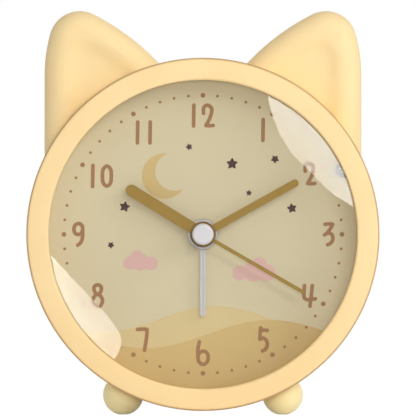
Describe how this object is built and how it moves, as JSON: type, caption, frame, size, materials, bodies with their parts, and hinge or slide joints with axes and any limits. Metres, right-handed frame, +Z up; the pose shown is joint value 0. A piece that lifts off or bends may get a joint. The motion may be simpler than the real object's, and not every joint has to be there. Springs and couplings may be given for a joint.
{
  "type": "alarm clock",
  "caption": "Round quartz alarm clock for a child, with cat ears, two long round feet, a thick snap bezel, four hands and a small night light at the dial's edge.",
  "frame": {"origin": "under the middle of the clock's box, on the surface it stands on", "axes": "+Z up, -Y out of the dial towards the reader, +X to the reader's right; the hands turn about Y"},
  "size_m": [0.115, 0.05, 0.1317],
  "materials": {
    "shell": "satin cream moulded plastic",
    "bezel": "satin peach moulded plastic",
    "lens": "clear polished acrylic",
    "dial": "printed beige sheet, eggshell",
    "white_plastic": "moulded, fine matt",
    "dark_plastic": "moulded, fine matt",
    "button": "satin peach moulded plastic",
    "knob": "satin white moulded plastic",
    "screw_steel": "zinc plated",
    "spring_steel": "nickel plated",
    "circuit_board": "green solder resist",
    "ferrite": "sintered",
    "lamp": "clear epoxy",
    "cell": "plain green sleeve",
    "gold": "gold plated, satin",
    "silver": "bright satin",
    "brass": "turned",
    "gear_plastic": "natural acetal",
    "magnet": "sintered magnet",
    "soft_iron": "punched sheet",
    "copper": "enamelled wire",
    "wire": "insulated stranded wire"
  },
  "bodies": {
    "case": {"front_shell": "shell", "rear_shell": "shell", "bezel": "bezel", "lens": "lens", "dial": "dial", "dial_carrier": "white_plastic", "right_foot": "shell", "left_foot": "shell", "case_screws": "screw_steel", "small_screws": "screw_steel", "button_spring": "spring_steel", "light_switch": "dark_plastic", "control_board": "circuit_board", "step_up_coil": "ferrite", "led": "lamp", "led_board": "circuit_board", "battery": "cell", "battery_spring_contact": "spring_steel", "battery_plate_contact": "spring_steel", "movement_front_plate": "white_plastic", "middle_plate": "white_plastic", "train_bridge": "white_plastic", "movement_back_case": "dark_plastic", "module_screws": "screw_steel", "stator": "soft_iron", "coil_bobbin": "white_plastic", "coil_winding": "copper", "movement_board": "circuit_board", "quartz_crystal": "spring_steel", "alarm_contact": "brass", "alarm_switch_body": "dark_plastic", "buzzer": "brass", "battery_wires": "wire", "led_wires": "wire", "lamp_supply_wires": "wire", "buzzer_wires": "wire", "switch_wires": "wire"},
    "minute": {"cannon_pinion": "brass", "minute_hand": "gold"},
    "hour": {"hour_wheel": "gear_plastic", "hour_hand": "gold"},
    "minute_wheel": {"minute_wheel": "gear_plastic"},
    "time_setting": {"time_knob": "knob", "time_setting_arbor": "gear_plastic"},
    "alarm": {"alarm_wheel": "gear_plastic", "alarm_hand": "silver"},
    "alarm_setting": {"alarm_knob": "knob", "alarm_setting_arbor": "gear_plastic"},
    "seconds": {"second_wheel": "gear_plastic", "second_hand": "gold"},
    "third_wheel": {"third_wheel": "gear_plastic"},
    "centre_wheel": {"centre_wheel": "gear_plastic"},
    "intermediate_wheel": {"intermediate_wheel": "gear_plastic"},
    "rotor": {"rotor": "magnet"},
    "light_button": {"light_button": "button"},
    "alarm_switch": {"alarm_switch_slider": "knob"},
    "battery_door": {"battery_door": "shell"}
  },
  "joints": [
    {"name": "time_setting", "type": "hinge", "parent": "case", "child": "time_setting", "pos_m": [0.01792, 0, 0.0678], "axis": [0, 1, 0], "continuous": true},
    {"name": "minute_hand", "type": "hinge", "parent": "case", "child": "minute", "pos_m": [0, 0, 0.0588], "axis": [0, 1, 0], "continuous": true},
    {"name": "hour_hand", "type": "hinge", "parent": "case", "child": "hour", "pos_m": [0, 0, 0.0588], "axis": [0, 1, 0], "continuous": true},
    {"name": "minute_wheel", "type": "hinge", "parent": "case", "child": "minute_wheel", "pos_m": [0.006, 0, 0.06919], "axis": [0, 1, 0], "continuous": true},
    {"name": "alarm_setting", "type": "hinge", "parent": "case", "child": "alarm_setting", "pos_m": [-0.01786, 0, 0.0678], "axis": [0, 1, 0], "continuous": true},
    {"name": "alarm_hand", "type": "hinge", "parent": "case", "child": "alarm", "pos_m": [0, 0, 0.0588], "axis": [0, 1, 0], "continuous": true},
    {"name": "second_hand", "type": "hinge", "parent": "case", "child": "seconds", "pos_m": [0, 0, 0.0588], "axis": [0, 1, 0], "continuous": true},
    {"name": "third_wheel", "type": "hinge", "parent": "case", "child": "third_wheel", "pos_m": [0.00958, 0, 0.05531], "axis": [0, 1, 0], "continuous": true},
    {"name": "centre_wheel", "type": "hinge", "parent": "case", "child": "centre_wheel", "pos_m": [0, 0, 0.0588], "axis": [0, 1, 0], "continuous": true},
    {"name": "intermediate_wheel", "type": "hinge", "parent": "case", "child": "intermediate_wheel", "pos_m": [-0.00846, 0, 0.05572], "axis": [0, 1, 0], "continuous": true},
    {"name": "rotor", "type": "hinge", "parent": "case", "child": "rotor", "pos_m": [-0.00426, 0, 0.04845], "axis": [0, 1, 0], "continuous": true},
    {"name": "light_button", "type": "slide", "parent": "case", "child": "light_button", "axis": [0, 0, -1], "range_m": [0, 0.0009], "stiffness_N_per_m": 900, "springref_m": -0.0012, "deforming": ["button_spring"]},
    {"name": "alarm_switch", "type": "slide", "parent": "case", "child": "alarm_switch", "axis": [0, 0, 1], "range_m": [0, 0.004]},
    {"name": "battery_door", "type": "hinge", "parent": "case", "child": "battery_door", "pos_m": [0, 0.015, 0.0182], "axis": [-1, 0, 0], "range_deg": [0, 95]}
  ],
  "couplings": [
    {"joint": "minute_hand", "follows": "time_setting", "ratio": 1},
    {"joint": "minute_wheel", "follows": "time_setting", "ratio": -0.33333},
    {"joint": "hour_hand", "follows": "time_setting", "ratio": 0.083333},
    {"joint": "alarm_hand", "follows": "alarm_setting", "ratio": -0.25},
    {"joint": "third_wheel", "follows": "second_hand", "ratio": -0.13333},
    {"joint": "centre_wheel", "follows": "second_hand", "ratio": 0.016667},
    {"joint": "intermediate_wheel", "follows": "second_hand", "ratio": -5},
    {"joint": "rotor", "follows": "second_hand", "ratio": 30}
  ]
}
